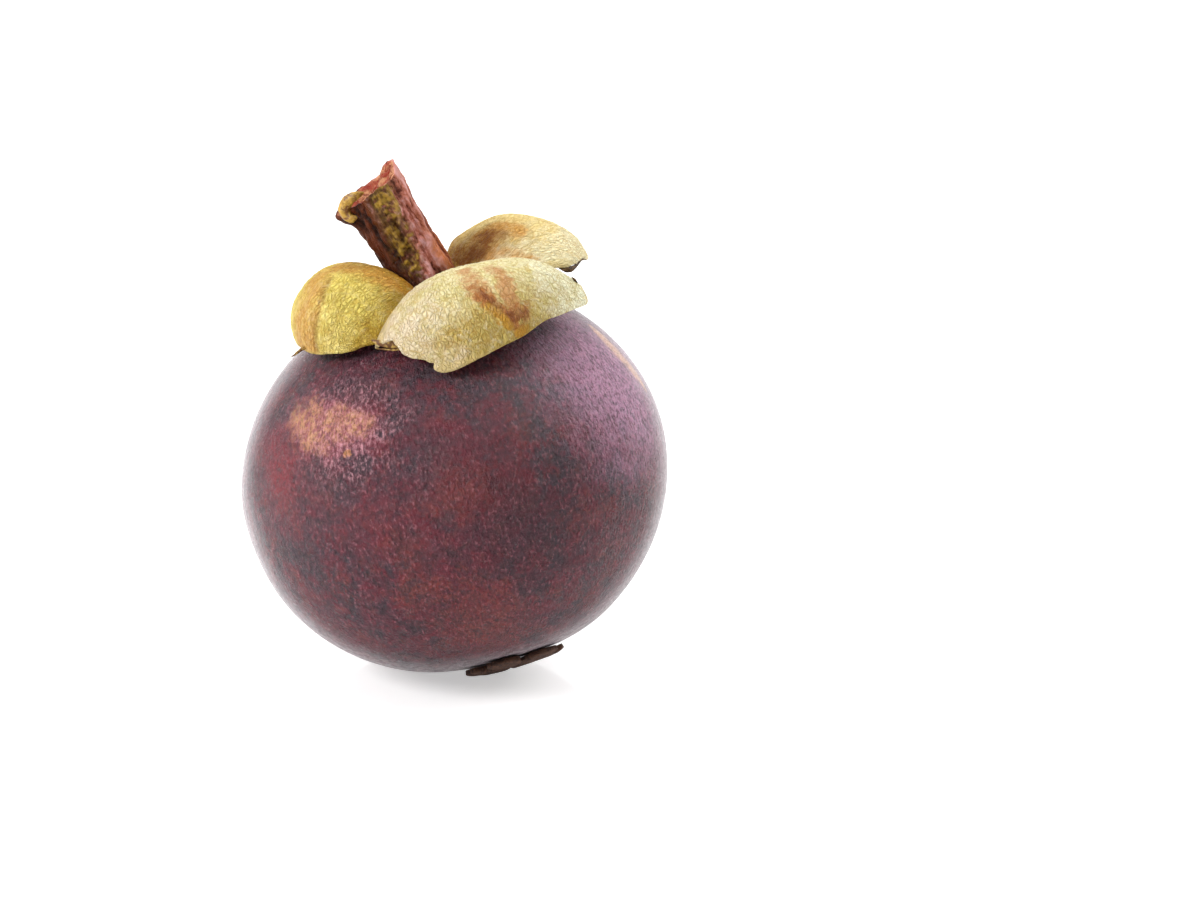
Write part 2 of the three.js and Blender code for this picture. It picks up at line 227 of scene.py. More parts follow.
def stem_skin(rows=250, end_rows=30, columns=240):
    """Rings up the stem from its root, then inward across the dished, torn end. Long creases and warts
    are added to the radius, and fibres to the end. Also gives each point's place on the bark, and how
    far it is onto the torn end, up on a ridge and up on a wart."""
    turn = np.linspace(0, 2 * math.pi, columns, endpoint=False)[None, :]
    up = np.concatenate([[0.0], np.linspace(0, 1, rows), np.ones(end_rows)])[:, None]
    inset = np.concatenate([[0.0], np.ones(rows), np.linspace(0.97, 0, end_rows)])[:, None]
    circle = np.stack([np.cos(turn), np.sin(turn), 0 * turn], -1)
    end = stem_end(turn) + 0.22 * lattice(circle * 3, 40) + 0.12 * lattice(circle * 9, 41)
    side_x, side_y, height = np.cos(turn) + 0 * up, np.sin(turn) + 0 * up, up * end

    def on_bark(stretch):
        return np.stack([STEM_RADIUS * side_x, STEM_RADIUS * side_y, stretch * height], -1)

    around = on_bark(0.2)
    around = around + 0.3 * np.stack([layered(around, 1.6, seed) for seed in (43, 47, 53)], -1)
    crease = np.minimum(ridged(around, 1.25, 11, 2), 1)
    cross = np.minimum(ridged(around * (1, 1, 2.6), 0.8, 15, 2), 1)
    lump, knob = layered(on_bark(0.8), 1.0, 21, 2), layered(on_bark(1), 0.6, 25, 2)
    wart_line = np.abs(side_x - WART_PLACE - WART_SLANT * (height - WART_MIDDLE))
    wart = np.maximum(0.5 * lump + 0.7 * knob + 0.2, 0) * hill(wart_line, 0.34) * (side_y < 0)
    wart = wart * ramp(height, 4, 8)
    relief = (0.5 * (crease - 0.45) + 0.26 * (cross - 0.4)) * ramp(height, 2.2, 5.5) + 0.75 * wart
    radius = stem_radius(turn, height) + relief
    flat = np.stack([radius * inset * side_x, radius * inset * side_y, 0 * radius], -1)
    fibres = 0.5 * layered(flat, 1.1, 31) + 0.3 * (ridged(flat, 0.6, 35, 2) - 0.4)
    dished = inset * end + (1 - inset) * (STEM_LENGTH - DISH_DEPTH)
    along = up * dished + fibres * (up == 1) * np.clip(4 * (1 - inset), 0, 1)
    bark = np.stack([side_x, side_y, along], -1)
    onto_end = (1 - inset) * (up == 1) * 12 + 0 * turn
    ripped = np.stack([onto_end, 0.65 * crease + 0.35 * cross, wart], -1)
    local = flat + along[..., None] * np.array([0, 0, 1])
    return lift_off_rind(STEM_ROOT + local @ STEM_AXES, TOUCHING_GAP, 0.1), bark, ripped


def push_off_stem(p, clearance, softness):
    """Moves points sideways off the lower stem until they clear the bark."""
    offset = p - STEM_ROOT
    along = offset @ STEM_AXES[2]
    side = offset - along[..., None] * STEM_AXES[2]
    far = lengths(side)
    flare = FLARE_HEIGHT * hill(np.maximum(along, 0), FLARE_REACH)
    bark = STEM_RADIUS + BARK_ALLOWANCE + flare + clearance
    reach = bark + soft_lift(far - bark, softness)
    scale = np.where(along > STEM_LENGTH * SHARE_NEAR_SEPALS, 1, reach / np.maximum(far, 1e-6))
    return STEM_ROOT + along[..., None] * STEM_AXES[2] + side * scale[..., None]


# ---- sepals

# Angles are in degrees and lengths in millimetres. `pitch` is the slope at the root and the tip, `cup`
# the sideways curl on the left and right. `edits` and `tears` are bites into the edge, or lobes where
# the size is negative, as (turn from the tip, spread, size).
PLAIN_SEPAL = dict(root_width=0.4, lean=0, tuck=0, fold=(), swell=(0, 0, 0), tears=[])
SEPALS = {
    "sepal_front": PLAIN_SEPAL | dict(
        azimuth=-64, length=25.5, half_width=17.5, root_width=0.1, pitch=(64, -80), bend=0.9,
        cup=(60, 50), squareness=2.5, lean=-0.08, seed=1, swell=(0.66, 0.12, 0.75),
        edits=[
            (-128, 18, 0.2), (-101, 10, -0.21), (-80, 10, 0.08), (-66, 17, 0.02), (-29, 8, -0.13),
            (15, 22, 0.09), (55, 18, -0.08),
        ],
        tears=[(-93, 5, 0.05), (-67, 7, 0.055), (-35.5, 1.3, 0.04)],
    ),
    "sepal_left": PLAIN_SEPAL | dict(
        azimuth=205, length=26.6, half_width=15.4, pitch=(54, -105), bend=1.35,
        cup=(55, 64), squareness=2.8, tuck=0.66, seed=2, fold=(0.02, 0.235, -0.1, 0.6),
        edits=[(-32, 20, -0.05), (62, 24, 0.07), (85, 22, 0.03), (125, 26, 0.28), (-120, 29, 0.21)],
    ),
    "sepal_back_right": PLAIN_SEPAL | dict(
        azimuth=40, length=25.5, half_width=15.8, pitch=(50, -80), bend=1.6,
        cup=(54, 72), squareness=2.8, seed=3,
        edits=[
            (-126, 23, 0.1), (-106, 17, -0.16), (-84, 12, 0.08), (-50, 12, 0.03), (122, 26, 0.36),
            (83, 23, 0.05), (20, 20, -0.04),
        ],
        tears=[(-67, 10, 0.08), (-95, 9, 0.03)],
    ),
    "sepal_back_left": PLAIN_SEPAL | dict(
        azimuth=126, length=20, half_width=12, pitch=(22, -50), bend=1,
        cup=(45, 45), squareness=2.6, seed=4,
        edits=[(-115, 29, 0.1), (120, 29, 0.21)],
    ),
}
SEPAL_THICKNESS = 1.3
ROOT_OUT, ROOT_HEIGHT = 3.0, 0.6
RIM_START, RIM_WIDTH = 0.955, 0.045
BLADE_SPAN, WRINKLE_STRETCH, PEBBLE_STRETCH = 17, 4.2, 7.5
FOLD_DEPTH = 0.16


def sepal_midline(sepal):
    """Distance out, height and slope along the middle of a sepal, from its slope at root and tip."""
    share = np.linspace(0, 1.3, 401)
    start, end = map(radians, sepal["pitch"])
    slope = start + (end - start) * share ** sepal["bend"]
    step = share[1] * sepal["length"]
    out = ROOT_OUT + np.concatenate([[0], np.cumsum(np.cos(slope[:-1]) * step)])
    height = ROOT_HEIGHT + np.concatenate([[0], np.cumsum(np.sin(slope[:-1]) * step)])
    return share, out, height, slope


def sepal_layer(sepal, across, along):
    """The middle layer of a sepal over (across, along), and its thickness there: a line that rises
    from the stem and curls down, swept sideways by an arc, gently waved, raised by the sepal's own
    swell, and kept clear of the stem and the rind."""
    share = (along + 1) / 2 * (1 + sepal["lean"] * across)
    spread = np.clip(share / 0.55, 0, 1) ** 0.8
    lateral = across * sepal["half_width"] * (sepal["root_width"] + (1 - sepal["root_width"]) * spread)
    grid, outs, heights, slopes = sepal_midline(sepal)
    out, height, slope = (np.interp(share, grid, v) for v in (outs, heights, slopes))
    left, right = map(radians, sepal["cup"])
    cup = np.where(lateral < 0, left, right) / sepal["half_width"] * (0.6 + 0.4 * np.clip(share, 0, 1))
    side = np.sin(lateral * cup) / cup
    drop = (1 - np.cos(lateral * cup)) / cup
    wave = 0.22 * np.sin(5.7 * across + sepal["azimuth"]) * np.cos(5.2 * along + 0.7)
    swell_across, swell_along, swell_height = sepal["swell"]
    from_swell = np.hypot(across - swell_across, (along - swell_along) * 0.8)
    wave = wave + swell_height * hill(from_swell, 0.36)
    outward = out + drop * np.sin(slope)
    bearing = radians(sepal["azimuth"])
    x = outward * math.cos(bearing) - side * math.sin(bearing)
    y = outward * math.sin(bearing) + side * math.cos(bearing)
    local = np.stack([x, y, height - drop * np.cos(slope) + wave], -1)
    thickness = SEPAL_THICKNESS * (1 - 0.48 * np.minimum(np.hypot(across, along), 1) ** 3)
    free = CALYX_CENTRE + local @ CALYX_AXES
    clearance = thickness / 2 + TOUCHING_GAP
    pressed = sepal["tuck"] * ramp(across, 0.1, 0.72)
    return lift_off_rind(push_off_stem(free, clearance, 0.3), clearance, 0.35, pressed), thickness


def sepal_outline(sepal, turn, reach):
    """(across, along) for a share of the way out at each turn from the tip: a rounded square with the
    sepal's own bites, lobes, tears and a ragged edge."""
    power = sepal["squareness"]
    rim = (np.abs(np.sin(turn)) ** power + np.abs(np.cos(turn)) ** power) ** (-1 / power)
    outness = reach * rim
    edge = 1 + 0.008 * (np.sin(9 * turn + sepal["azimuth"]) + np.sin(14 * turn)) * outness**6
    for angle, spread, size in sepal["edits"]:
        edge = edge - size * hill(turn - radians(angle), radians(spread)) * outness**6
    for angle, spread, size in sepal["tears"]:
        edge = edge - size * hill(turn_apart(turn, radians(angle)), radians(spread)) * reach**12
    circle = np.stack([np.cos(turn), np.sin(turn), 0 * turn], -1)
    edge = edge + 0.006 * layered(circle * 9, 1.0, 50 + sepal["seed"]) * reach**12
    return outness * edge * np.sin(turn), outness * edge * np.cos(turn)


def fold_place(sepal, across, along):
    """Signed distance across a sepal from its fold line, which bends from one side share to another
    between two places along the sepal. Far away where a sepal has no fold."""
    if not sepal["fold"]:
        return np.full_like(across, 9.0)
    start, end, first, last = sepal["fold"]
    return across - (start + (end - start) * ramp(along, first, last))


def sepal_skin(sepal, rings=104, under_rings=36, columns=400):
    """Rings out over the upper face, round the rim and back under: the middle layer moved half a
    thickness along its normal, with a rounded rim, a wrinkled, granular upper face and ribs
    underneath. Also gives each point's place on the blade and how high it is on pads and wrinkles."""
    turn = np.linspace(-math.pi, math.pi, columns, endpoint=False)[None, :]
    outward = np.sin(np.linspace(0, math.pi / 2, rings))
    inward = np.sin(np.linspace(math.pi / 2, 0, under_rings))[1:]
    reach = np.concatenate([outward, inward])[:, None]
    upper = np.concatenate([np.ones(rings), -np.ones(under_rings - 1)])[:, None]
    across, along = sepal_outline(sepal, turn, reach)
    p, thickness = sepal_layer(sepal, across, along)
    step = 0.01
    normal = np.cross(
        sepal_layer(sepal, across, along + step)[0] - sepal_layer(sepal, across, along - step)[0],
        sepal_layer(sepal, across + step, along)[0] - sepal_layer(sepal, across - step, along)[0],
    )
    normal /= lengths(normal)[..., None]
    rim = np.clip((reach - RIM_START) / RIM_WIDTH, 0, 1)
    half = thickness / 2 * np.sqrt(1 - rim**2)
    fade = ramp(1 - reach, 0.0, 0.05)
    pads = np.minimum(ridged(p, 0.62, 60 + sepal["seed"], 2), 1)
    flat = np.stack([across * BLADE_SPAN, along * WRINKLE_STRETCH, 0 * across + sepal["seed"]], -1)
    wrinkles = np.minimum(ridged(flat, 1.0, 70 + sepal["seed"], 2), 1)
    creases = ridged(flat, 2.8, 80 + sepal["seed"], 2) - 0.5
    fold = hill(fold_place(sepal, across, along), 0.035) * ramp(along, -0.1, 0.3)
    relief = 0.07 * (pads - 0.4) + 0.09 * (wrinkles - 0.4) + 0.12 * creases
    relief = np.where(upper > 0, relief - FOLD_DEPTH * fold, 0.06 * creases) * fade
    p = p + normal * (upper * (half + relief))[..., None]
    blade = np.stack([across, along, upper + 0 * across], -1)
    return p, blade, np.stack([pads, wrinkles, 0 * pads], -1)


# ---- stigma

STIGMA_RADIUS, STIGMA_LOBES = 7.6, 6
STIGMA_LOWEST = 0.25


def stigma_skin(rings=34, columns=360):
    """Rings out over the rosette's face and back under it: a low dome over the rind, parted into
    lobes by clefts in its outline and grooves in its face, wrinkled like dry bark, and kept just off
    the table."""
    turn = np.linspace(0, 2 * math.pi, columns, endpoint=False)[None, :]
    outward = np.sin(np.linspace(0, math.pi / 2, rings))
    share = np.concatenate([outward, outward[::-1]])[:, None]
    face = np.concatenate([np.ones(rings), np.zeros(rings)])[:, None]
    step = 2 * math.pi / STIGMA_LOBES
    from_middle = np.abs((turn - 0.3) % step - step / 2)
    from_groove = step / 2 - from_middle
    reach = STIGMA_RADIUS * (1 - 0.08 * (2 * from_middle / step) ** 2)
    reach = reach * (1 - 0.42 * hill(from_groove, 0.1))
    distance = share * reach
    dome = np.sqrt(1 - share**6) * (0.55 + 0.45 * np.minimum(distance / 4, 1))
    crest = 0.85 + 0.45 * dome * (1 - 0.8 * hill(from_groove * distance, 0.45))
    way = on_ball(distance / MEAN_RADIUS, turn) @ axes_about(STIGMA_WAY)
    p = on_rind(way, np.where(face > 0, crest, TOUCHING_GAP + 0 * crest))
    wrinkles = face * (0.10 * layered(p, 0.8, 81) + 0.08 * layered(p, 2.2, 85)) * (1 - share**8)
    p = p + way * wrinkles[..., None]
    p[..., 2] = np.maximum(p[..., 2], STIGMA_LOWEST)
    return p


# ---- strands


def smooth_path(stops, count):
    """Points along a curve through every stop, which leaves each stop in the direction from the stop
    before it to the stop after it."""
    stops = np.asarray(stops, float)
    padded = np.vstack([2 * stops[0] - stops[1], stops, 2 * stops[-1] - stops[-2]])
    place = np.linspace(0, len(stops) - 1, count)
    first = np.minimum(place.astype(int), len(stops) - 2)
    f = (place - first)[:, None]
    a, b, c, d = (padded[first + k] for k in range(4))
    straight = 2 * b + (c - a) * f
    return 0.5 * (straight + (2 * a - 5 * b + 4 * c - d) * f**2 + (3 * b - a - 3 * c + d) * f**3)


def strand_skin(stops, facing, flatness, lumps, seed, rows=90, columns=40):
    """Ovals carried along a smooth path of (x, y, z, girth) stops and shut at both ends. `facing` is
    the way their short side looks, `flatness` the short side's share of the long one, and `lumps`
    the height of the noise on them."""
    path = smooth_path(stops, rows)
    girth = path[:, 3:] * np.sqrt(np.clip(1 - np.linspace(-1, 1, rows) ** 8, 0, 1))[:, None]
    tangent = np.gradient(path[:, :3], axis=0)
    tangent /= lengths(tangent)[:, None]
    short = unit(facing) - (tangent @ unit(facing))[:, None] * tangent
    short /= lengths(short)[:, None]
    wide = np.cross(tangent, short)
    turn = np.linspace(0, 2 * math.pi, columns, endpoint=False)[None, :, None]
    oval = flatness * np.cos(turn) * short[:, None] + np.sin(turn) * wide[:, None]
    p = path[:, None, :3] + girth[:, None] * oval
    return p + (girth[:, None] > 0.02) * oval * lumps * layered(p, 0.7, seed)[..., None]


# ---- meshes


def put_in(name, data):
    """A new object in the scene that shows a mesh, a lamp or a lens."""
    piece = bpy.data.objects.new(name, data)
    scene.collection.objects.link(piece)
    return piece


def drawn_together(rows):
    """Rows of points as one list, with one point left of the first row and one of the last."""
    return np.concatenate([rows[:1, 0], rows[1:-1].reshape(-1, 3), rows[-1:, 0]])


def close_skin(name, rows):
    """A mesh over rows of points that run round and close on themselves, shut at both ends by a
    single point. The faces are run the other way round if they would look inward, which the sign of
    the enclosed volume tells."""
    count, columns = rows.shape[:2]
    points = drawn_together(rows)
    ring = np.arange(columns)
    after = (ring + 1) % columns
    start = 1 + columns * np.arange(count - 3)[:, None]
    quads = np.stack([start + ring, start + columns + ring, start + columns + after, start + after], -1)
    last = len(points) - 1
    ends = [np.stack([0 * ring, 1 + ring, 1 + after], -1)]
    ends.append(np.stack([0 * ring + last, last - columns + after, last - columns + ring], -1))
    quads, ends = quads.reshape(-1, 4), np.concatenate(ends)
    a, b, c, d = (points[quads[:, k]] for k in range(4))
    if np.sum(a * (np.cross(b, c) + np.cross(c, d))) < 0:
        quads, ends = quads[:, ::-1], ends[:, ::-1]
    faces = quads.tolist() + ends.tolist()
    mesh = bpy.data.meshes.new(name)
    mesh.from_pydata((points * MM).tolist(), [], faces)
    mesh.shade_smooth()
    return put_in(name, mesh)


def mark(piece, name, rows):
    """Stores a vector at every point of a closed skin, for its finish to follow."""
    layer = piece.data.attributes.new(name, "FLOAT_VECTOR", "POINT")
    layer.data.foreach_set("vector", drawn_together(rows).astype(np.float32).ravel())


def dress(piece, node, finish):
    piece.data.materials.append(finish)
    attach(piece, "root")
    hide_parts(node)


# ---- finishes


def colour(red, green, blue):
    """A colour given in everyday 0-255 steps, as the linear light that a shader takes."""
    steps = [v / 255 for v in (red, green, blue)]
    return (*[v / 12.92 if v <= 0.04045 else ((v + 0.055) / 1.055) ** 2.4 for v in steps], 1.0)


class Wiring:
    """Nodes being wired up in a tree. A colour is a socket or a (red, green, blue) of everyday 0-255
    steps."""

    def __init__(self, tree):
        self.tree = tree

    def node(self, kind, **settings):
        made = self.tree.nodes.new(kind)
        for key, value in settings.items():
            setattr(made, key, value)
        return made

    def feed(self, socket, value):
        if isinstance(value, bpy.types.NodeSocket):
            self.tree.links.new(value, socket)
        else:
            socket.default_value = value

    def paint(self, socket, tint):
        self.feed(socket, colour(*tint) if isinstance(tint, tuple) else tint)

    def vector(self, operation, a, b=None, scale=None):
        made = self.node("ShaderNodeVectorMath", operation=operation)
        self.feed(made.inputs[0], a)
        if b is not None:
            self.feed(made.inputs[1], b)
        if scale is not None:
            self.feed(made.inputs["Scale"], scale)
        return made.outputs["Value" if operation in ("LENGTH", "DISTANCE", "DOT_PRODUCT") else "Vector"]

    def maths(self, operation, a, b=0.0, clamp=False):
        made = self.node("ShaderNodeMath", operation=operation, use_clamp=clamp)
        self.feed(made.inputs[0], a)
        self.feed(made.inputs[1], b)
        return made.outputs[0]

    def plus(self, a, b):
        return self.maths("ADD", a, b)

    def times(self, *values):
        total = values[0]
        for value in values[1:]:
            total = self.maths("MULTIPLY", total, value)
        return total

    def swing(self, noise, amount):
        """Noise centred on zero, from minus half of `amount` to half of it."""
        return self.times(self.maths("SUBTRACT", noise, 0.5), amount)

    def parts(self, vector):
        made = self.node("ShaderNodeSeparateXYZ")
        self.feed(made.inputs[0], vector)
        return tuple(made.outputs)

    def fade(self, value, low, high, bottom=0.0, top=1.0):
        """`bottom` up to `low`, `top` from `high`, smooth between; `low` may be the larger."""
        made = self.node("ShaderNodeMapRange", interpolation_type="SMOOTHSTEP")
        self.feed(made.inputs["Value"], value)
        numbers = (low, high, bottom, top) if low < high else (high, low, top, bottom)
        for socket, number in zip(made.inputs[1:5], numbers):
            socket.default_value = number
        return made.outputs["Result"]

    def blend(self, under, over, amount):
        made = self.node("ShaderNodeMix", data_type="RGBA", blend_type="MIX")
        self.feed(made.inputs["Factor"], amount)
        self.paint(made.inputs[6], under)
        self.paint(made.inputs[7], over)
        return made.outputs[2]


class Finish(Wiring):
    """A procedural finish, colour laid over colour. Places and grain sizes are in millimetres."""

    def __init__(self, name, base):
        self.base = base
        self.material = bpy.data.materials.new(name)
        self.material.use_nodes = True
        super().__init__(self.material.node_tree)
        self.tree.nodes.clear()
        self.shader = self.node("ShaderNodeBsdfPrincipled")
        output = self.node("ShaderNodeOutputMaterial")
        self.tree.links.new(self.shader.outputs["BSDF"], output.inputs["Surface"])
        place = self.node("ShaderNodeTexCoord").outputs["Object"]
        self.mm = self.vector("SCALE", place, scale=1000)

    def attribute(self, name):
        return self.node("ShaderNodeAttribute", attribute_name=name).outputs["Vector"]

    def noise(self, size, where=None, detail=4.0, rough=0.55, warp=0.0, shift=0.0):
        """Cloudy noise from 0 to 1 whose blobs are about `size` across."""
        made = self.node("ShaderNodeTexNoise")
        where = self.mm if where is None else where
        if shift:
            where = self.vector("ADD", where, (shift, shift * 0.7, -shift))
        self.feed(made.inputs["Vector"], where)
        made.inputs["Scale"].default_value = 1 / size
        made.inputs["Detail"].default_value = detail
        made.inputs["Roughness"].default_value = rough
        made.inputs["Distortion"].default_value = warp
        return made.outputs["Fac"]

    def wobbled(self, where, size, amount):
        """A place pushed about by up to half of `amount`, so that what is laid there turns uneven."""
        made = self.node("ShaderNodeTexNoise")
        self.feed(made.inputs["Vector"], where)
        made.inputs["Scale"].default_value = 1 / size
        push = self.vector("SUBTRACT", made.outputs["Color"], (0.5, 0.5, 0.5))
        return self.vector("ADD", where, self.vector("SCALE", push, scale=amount))

    def cells(self, size, where=None, feature="F1"):
        """Distance to the nearest of many scattered points, in shares of their spacing, or with the
        feature DISTANCE_TO_EDGE to the nearest border between them."""
        made = self.node("ShaderNodeTexVoronoi", feature=feature)
        self.feed(made.inputs["Vector"], self.mm if where is None else where)
        made.inputs["Scale"].default_value = 1 / size
        return made.outputs["Distance"]

    def spot(self, centre, radius, ragged=0.0, size=1.5, edge=0.35, stretch=(1, 1, 1), detail=4):
        """1 within `radius` of a place and 0 beyond, with an edge that noise pushes in and out."""
        offset = self.vector("MULTIPLY", self.vector("SUBTRACT", self.mm, centre), stretch)
        far = self.vector("LENGTH", offset)
        if ragged:
            push = self.noise(size, detail=detail, rough=0.65, shift=sum(centre))
            far = self.plus(far, self.swing(push, 2 * ragged))
        return self.fade(far, radius * (1 + edge), radius * (1 - edge))

    def stroke(self, stops, ragged=0.0, size=1.5, edge=0.35, detail=4):
        """Like `spot`, along a line through (place, radius) stops. `ragged` is in shares of the
        radius."""
        nearest = 9.0
        for (start, first), (end, last) in zip(stops, stops[1:]):
            run = np.subtract(end, start)
            offset = self.vector("SUBTRACT", self.mm, start)
            share = self.vector("DOT_PRODUCT", offset, tuple(run / (run @ run)))
            share = self.maths("ADD", share, 0.0, clamp=True)
            far = self.vector("DISTANCE", offset, self.vector("SCALE", tuple(run), scale=share))
            width = self.plus(self.times(share, last - first), first)
            nearest = self.maths("MINIMUM", nearest, self.maths("DIVIDE", far, width))
        push = self.noise(size, detail=detail, rough=0.6, warp=0.4, shift=size)
        nearest = self.plus(nearest, self.swing(push, 2 * ragged))
        return self.fade(nearest, 1 + edge, 1 - edge)

    def lay(self, tint, *amounts):
        """Lays a colour over what is there already, by the product of the amounts."""
        self.base = self.blend(self.base, tint, self.times(*amounts))

    def relief(self, *heights):
        """Bump from (height from 0 to 1, depth in millimetres) pairs."""
        total = 0.0
        for height, depth in heights:
            total = self.plus(total, self.times(height, depth))
        made = self.node("ShaderNodeBump")
        made.inputs["Distance"].default_value = MM
        self.feed(made.inputs["Height"], total)
        self.feed(self.shader.inputs["Normal"], made.outputs["Normal"])

    def done(self, roughness, **settings):
        self.paint(self.shader.inputs["Base Color"], self.base)
        self.feed(self.shader.inputs["Roughness"], roughness)
        for key, value in settings.items():
            self.shader.inputs[key.replace("_", " ")].default_value = value
        return self.material


SLATE, WINE, RUST = (56, 38, 48), (98, 22, 38), (126, 54, 42)
RIND_CLOUDS = [
    (WINE, (4, -29, 39), 5.5, 4.5, 0.7),
    (WINE, (-10.2, -28.8, 32), 4.5, 4.5, 0.5),
    ((88, 10, 16), (5.2, -29.4, 34.5), 4.0, 4.5, 0.6),
    ((124, 14, 28), (-23.7, -18.3, 34.6), 4.4, 3.5, 0.8),
    (RUST, (0.3, -30.2, 34.2), 3.6, 4.5, 0.4),
    (RUST, (-6.5, -30.2, 26), 2.8, 4.0, 0.35),
    (RUST, (-5.5, -28.5, 19.3), 3.2, 4.5, 0.45),
    (RUST, (3.5, -26.1, 14.2), 6.0, 6.0, 0.5),
    (SLATE, (-4.4, -28.6, 39), 3.5, 3.5, 0.6),
    (SLATE, (-17, -24.5, 35.6), 4.0, 4.0, 0.6),
    (SLATE, (10, -29.1, 28), 6.5, 5.0, 0.6),
    (SLATE, (-14.3, -18.5, 47.2), 5.0, 4.0, 0.7),
]
SCAR_LOBES = [
    [((-20.4, -18.2, 41.6), 2.9), ((-19.2, -21.0, 39.8), 2.2)],
    [((-17.6, -21.0, 42.2), 1.8), ((-14.8, -22.8, 42.4), 2.3), ((-12.6, -24.0, 42.0), 1.5)],
]
TAN_BAND = [
    ((19.6, -3.0, 51.2), 0.6), ((22.3, -4.6, 48.5), 1.5), ((25.0, -4.5, 45.6), 1.4),
    ((27.0, -4.2, 42.5), 0.7),
]


def rind_finish():
    """Waxy skin: clouds of slate, wine red and rust whose edges break up into grain, a violet side that
    is partly waxy frost and partly a painted sheen, a tan scar of two lobes in a reddish halo, a tan
    band, painted highlight glints below the scar, pale grain tips that are partly painted glints, pale
    dots, fine streaks that run from the calyx to the stigma, and a painted pale reflection where the
    skin turns away."""
    f = Finish("waxy_rind", SLATE)
    fan = f.attribute("fan")
    streak = f.noise(0.55, f.vector("MULTIPLY", fan, (1, 1, 0.1)), detail=4, rough=0.65)
    along = f.vector("MULTIPLY", fan, (1, 1, 0.6))
    grain = f.noise(0.38, along, detail=4, rough=0.65, warp=0.3, shift=5)
    cloud = f.noise(9, detail=6, rough=0.7, warp=0.3)
    mottle = f.noise(3.0, detail=7, rough=0.75, warp=0.3, shift=3)
    fleck = f.noise(0.9, detail=5, rough=0.75, warp=0.3, shift=7)
    f.lay((80, 34, 46), f.fade(cloud, 0.42, 0.56))
    f.lay(WINE, f.fade(mottle, 0.48, 0.58), 0.7)
    f.lay((34, 18, 26), f.fade(mottle, 0.45, 0.36), 0.7)
    rusty = f.fade(f.noise(5, detail=7, rough=0.75, shift=33), 0.46, 0.6)
    f.lay(RUST, f.times(rusty, f.fade(fleck, 0.42, 0.6)), 0.42)
    for tint, centre, radius, ragged, strength in RIND_CLOUDS:
        patch = f.spot(centre, radius, ragged, size=3.0, edge=0.7, detail=7)
        f.lay(tint, patch, f.fade(fleck, 0.34, 0.6, 0.2, 1), strength)
    # Violet patch on the upper right: partly the skin's waxy frost, partly a painted sheen.
    frost_and_sheen = f.spot((22.5, -10.8, 46.0), 11.5, ragged=6, size=5, edge=0.7)
    f.lay((190, 142, 172), frost_and_sheen, f.fade(grain, 0.36, 0.62, 0.35, 0.9))
    halo = f.spot(
        (-17.4, -21.4, 41.2), 7.4, ragged=7.5, size=3.2, edge=0.5, stretch=(1, 1, 1.9), detail=7
    )
    f.lay((138, 70, 80), halo, f.fade(fleck, 0.34, 0.62, 0.3, 0.95))
    scar = [f.stroke(lobe, 1.5, size=2.6, edge=0.6, detail=7) for lobe in SCAR_LOBES]
    tan = f.blend((150, 82, 84), (190, 138, 94), f.fade(fleck, 0.38, 0.6))
    f.lay(tan, f.maths("MAXIMUM", *scar), f.fade(mottle, 0.38, 0.54, 0.35, 0.9))
    f.lay((186, 124, 74), f.spot((-14.6, -24.9, 38.7), 0.5, ragged=1.2, size=0.8), 0.8)
    f.lay((232, 182, 148), f.stroke(TAN_BAND, 1.3, size=1.8, edge=0.7, detail=6), 0.85)
    f.lay((24, 10, 18), f.fade(grain, 0.5, 0.36), 0.5)
    # Pale pink on the grain's high streaks: partly the skin's own flecks, partly painted glints.
    f.lay((176, 112, 122), f.fade(grain, 0.54, 0.7), 0.45)
    # Painted highlight: pale pink glints below the scar, where the key lamp's gloss falls on the skin.
    painted_glints = f.spot((-14.4, -23.9, 41.6), 7.0, ragged=6, size=3, edge=0.6, detail=7)
    painted_glints = f.times(painted_glints, f.fade(fleck, 0.4, 0.56, 0.3, 1), 0.55)
    f.lay((208, 150, 160), painted_glints, f.fade(grain, 0.46, 0.64))
    f.lay((176, 130, 118), f.fade(f.cells(1.7), 0.09, 0.05), 0.25)
    # Painted reflection: a pale grey rim where the skin turns away, standing in for the white
    # surroundings seen at a grazing angle.
    facing = f.node("ShaderNodeLayerWeight").outputs["Facing"]
    f.lay((212, 204, 208), f.fade(facing, 0.6, 1.0), 0.68)
    f.relief((grain, 0.36), (streak, 0.12), (mottle, 0.3), (fleck, 0.22))
    return f.done(
        f.fade(f.noise(1.4, detail=4, shift=17), 0.3, 0.7, 0.18, 0.36), Specular_IOR_Level=0.2,
        Sheen_Weight=0.06, Sheen_Roughness=0.25, Sheen_Tint=colour(216, 206, 216),
    )


